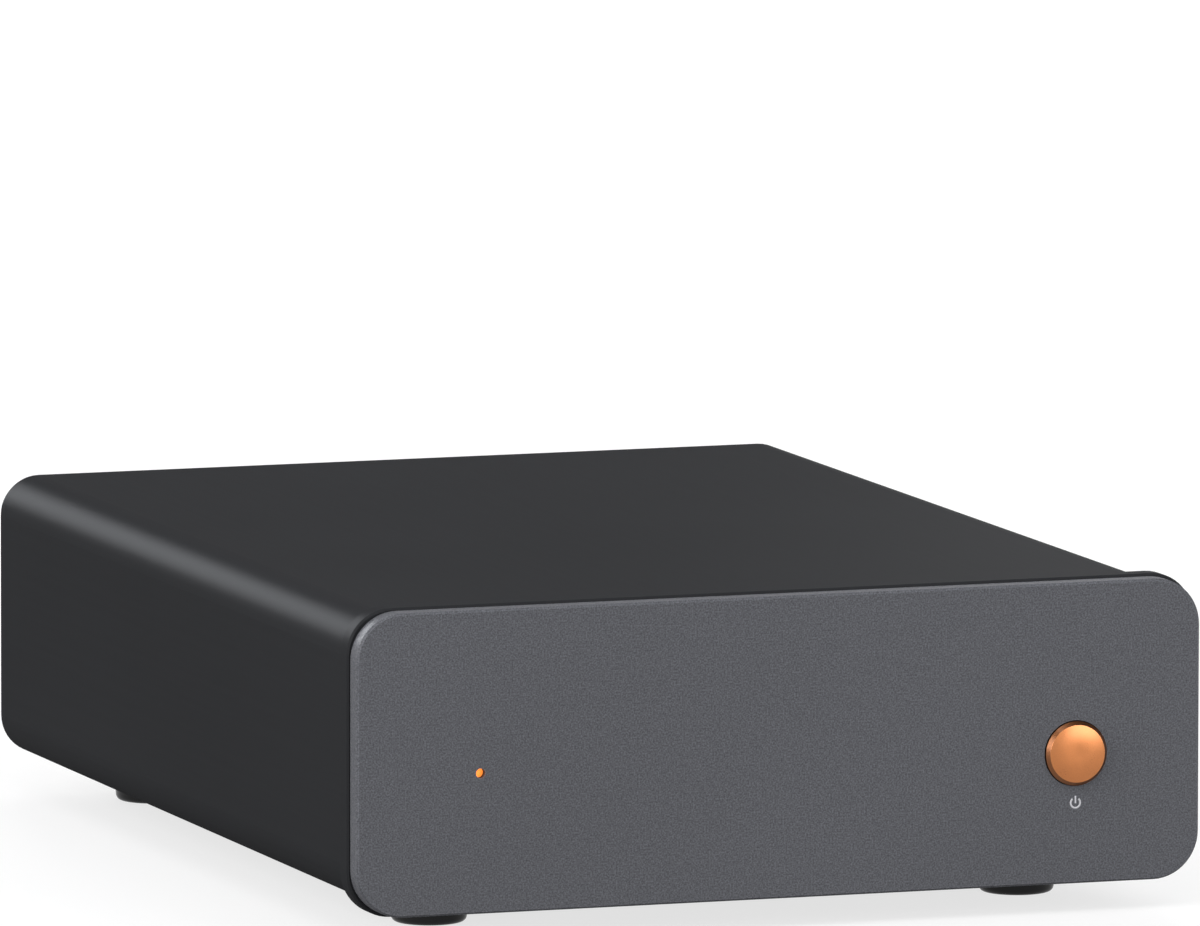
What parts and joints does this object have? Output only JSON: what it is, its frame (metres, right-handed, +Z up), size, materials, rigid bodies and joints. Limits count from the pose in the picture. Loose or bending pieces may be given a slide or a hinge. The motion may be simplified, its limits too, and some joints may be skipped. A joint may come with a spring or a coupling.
{
  "type": "phono preamp",
  "caption": "Low box phono preamplifier: extruded housing on round feet, faceplate with button and light, rear panel with phono jacks, gain knob, slide switch, power inlet and ground terminal",
  "frame": {"origin": "bottom centre of the whole box at rest, on the plane the feet stand on", "axes": "+X right seen from the front, +Y from faceplate to rear panel, +Z up"},
  "size_m": [0.106, 0.1536, 0.0399],
  "materials": {
    "black_anodised": "satin black anodised, fine grain",
    "black_brushed": "black anodised, finely brushed",
    "slate_anodised": "slate grey anodised, fine blasted grain",
    "black_film": "black adhesive film",
    "black_screw": "black oxide",
    "black_gloss": "polished black",
    "board_green": "green solder mask",
    "tinned": "tinned",
    "black_moulding": "moulded black",
    "gold_plate": "gold plated, polished",
    "nickel": "nickel plated, bright",
    "white_moulding": "moulded white",
    "red_moulding": "moulded red",
    "black_knob": "fine satin black",
    "wire_green": "insulated wire",
    "copper_anodised": "copper coloured, brushed",
    "spring_steel": "drawn wire",
    "amber_clear": "clear amber",
    "can_sleeve": "printed sleeve, left bare",
    "film_red": "dipped lacquer",
    "resistor_blue": "lacquered",
    "bare_aluminium": "extruded"
  },
  "bodies": {
    "unit": {"housing": "black_anodised", "front_frame": "black_anodised", "front_screws": "black_screw", "faceplate_film": "black_film", "faceplate": "slate_anodised", "rear_panel": "black_brushed", "rear_screws": "black_screw", "feet": "black_gloss", "foot_screws": "black_screw", "main_board": "board_green", "switch_pins": "tinned", "input_jack_block": "black_moulding", "output_jack_block": "black_moulding", "input_contacts": "gold_plate", "output_contacts": "gold_plate", "gain_switch_case": "black_moulding", "gain_bushing": "nickel", "mode_switch_frame": "nickel", "mode_switch_base": "black_moulding", "power_jack_ring": "nickel", "power_jack_body": "black_moulding", "power_jack_pin": "gold_plate", "ground_post": "nickel", "ground_hex_nut": "nickel", "ground_lug": "tinned", "ground_wire": "wire_green", "power_switch_case": "black_moulding", "power_switch_spring": "spring_steel", "light_guide": "amber_clear", "led": "amber_clear", "led_holder": "black_moulding", "filter_capacitors": "can_sleeve", "rectifier_diodes": "black_moulding", "coupling_capacitors": "can_sleeve", "film_capacitors": "film_red", "resistors": "resistor_blue", "op_amp_sockets": "black_moulding", "op_amps": "black_moulding", "voltage_regulators": "black_moulding", "heatsinks": "bare_aluminium", "input_right_shell": "gold_plate", "input_left_shell": "gold_plate", "output_right_shell": "gold_plate", "output_left_shell": "gold_plate", "input_right_insulator": "red_moulding", "input_left_insulator": "white_moulding", "output_right_insulator": "red_moulding", "output_left_insulator": "white_moulding"},
    "power_press": {"power_button": "copper_anodised", "power_switch_plunger": "white_moulding"},
    "gain_control": {"gain_knob": "black_knob", "gain_shaft": "nickel", "gain_rotor": "white_moulding"},
    "mode_slide": {"mode_slider": "black_moulding"},
    "ground_washer_body": {"ground_washer": "nickel"},
    "ground_nut_body": {"ground_nut": "nickel"}
  },
  "joints": [
    {"name": "power_button_press", "type": "slide", "parent": "unit", "child": "power_press", "axis": [0, 1, 0], "range_m": [0, 0.0015], "stiffness_N_per_m": 400, "springref_m": -0.002, "deforming": ["power_switch_spring"]},
    {"name": "gain_knob_turn", "type": "hinge", "parent": "unit", "child": "gain_control", "pos_m": [0.0071, 0.0654, 0.02515], "axis": [0, 1, 0], "range_deg": [-54, 54]},
    {"name": "mode_slider_slide", "type": "slide", "parent": "unit", "child": "mode_slide", "axis": [-1, 0, 0], "range_m": [0, 0.002]},
    {"name": "ground_washer_lift", "type": "slide", "parent": "unit", "child": "ground_washer_body", "axis": [0, 1, 0], "range_m": [0, 0.003]},
    {"name": "ground_nut_turn", "type": "hinge", "parent": "ground_washer_body", "child": "ground_nut_body", "pos_m": [-0.0378, 0.06585, 0.03135], "axis": [0, 1, 0], "range_deg": [0, 1080]}
  ],
  "couplings": [
    {"joint": "ground_nut_turn", "follows": "ground_washer_lift", "rad_per_m": 6283.2}
  ]
}
